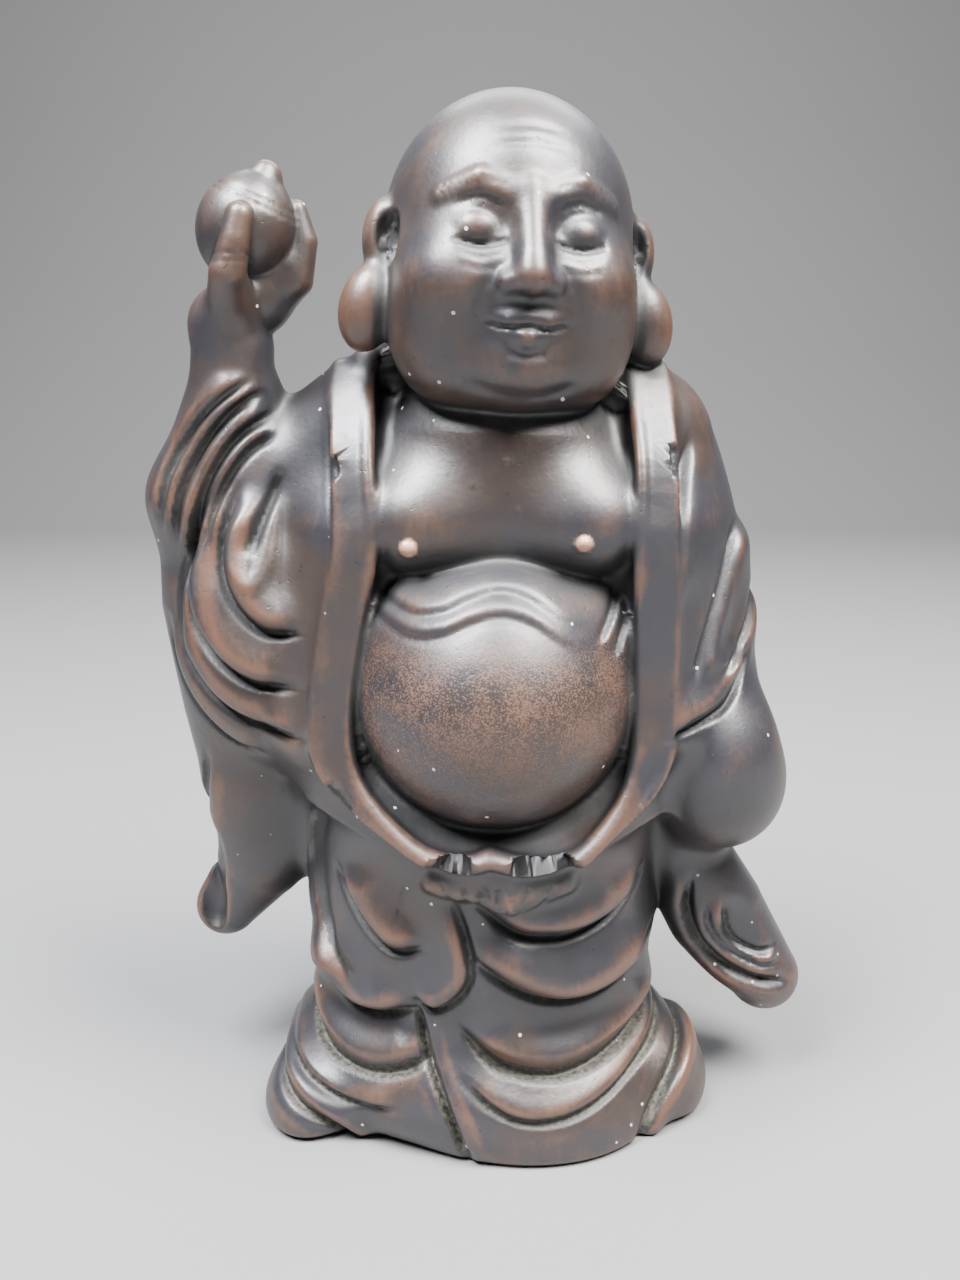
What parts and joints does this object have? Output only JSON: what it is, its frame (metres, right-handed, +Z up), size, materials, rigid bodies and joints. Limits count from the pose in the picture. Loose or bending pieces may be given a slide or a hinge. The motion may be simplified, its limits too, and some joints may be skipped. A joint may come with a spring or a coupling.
{
  "type": "hotei statue",
  "caption": "Standing figure of Hotei in dark fired clay: open robe, round belly, long-lobed ears, a jewel in the raised right hand.",
  "frame": {"origin": "centre of the figure's box, on the surface it stands on", "axes": "+Z up, the figure faces -Y, its raised right hand is on the -X side"},
  "size_m": [0.2027, 0.1135, 0.3],
  "materials": {
    "dark_clay": "satin"
  },
  "bodies": {
    "root": {"hotei_statue": "dark_clay"}
  },
  "joints": []
}
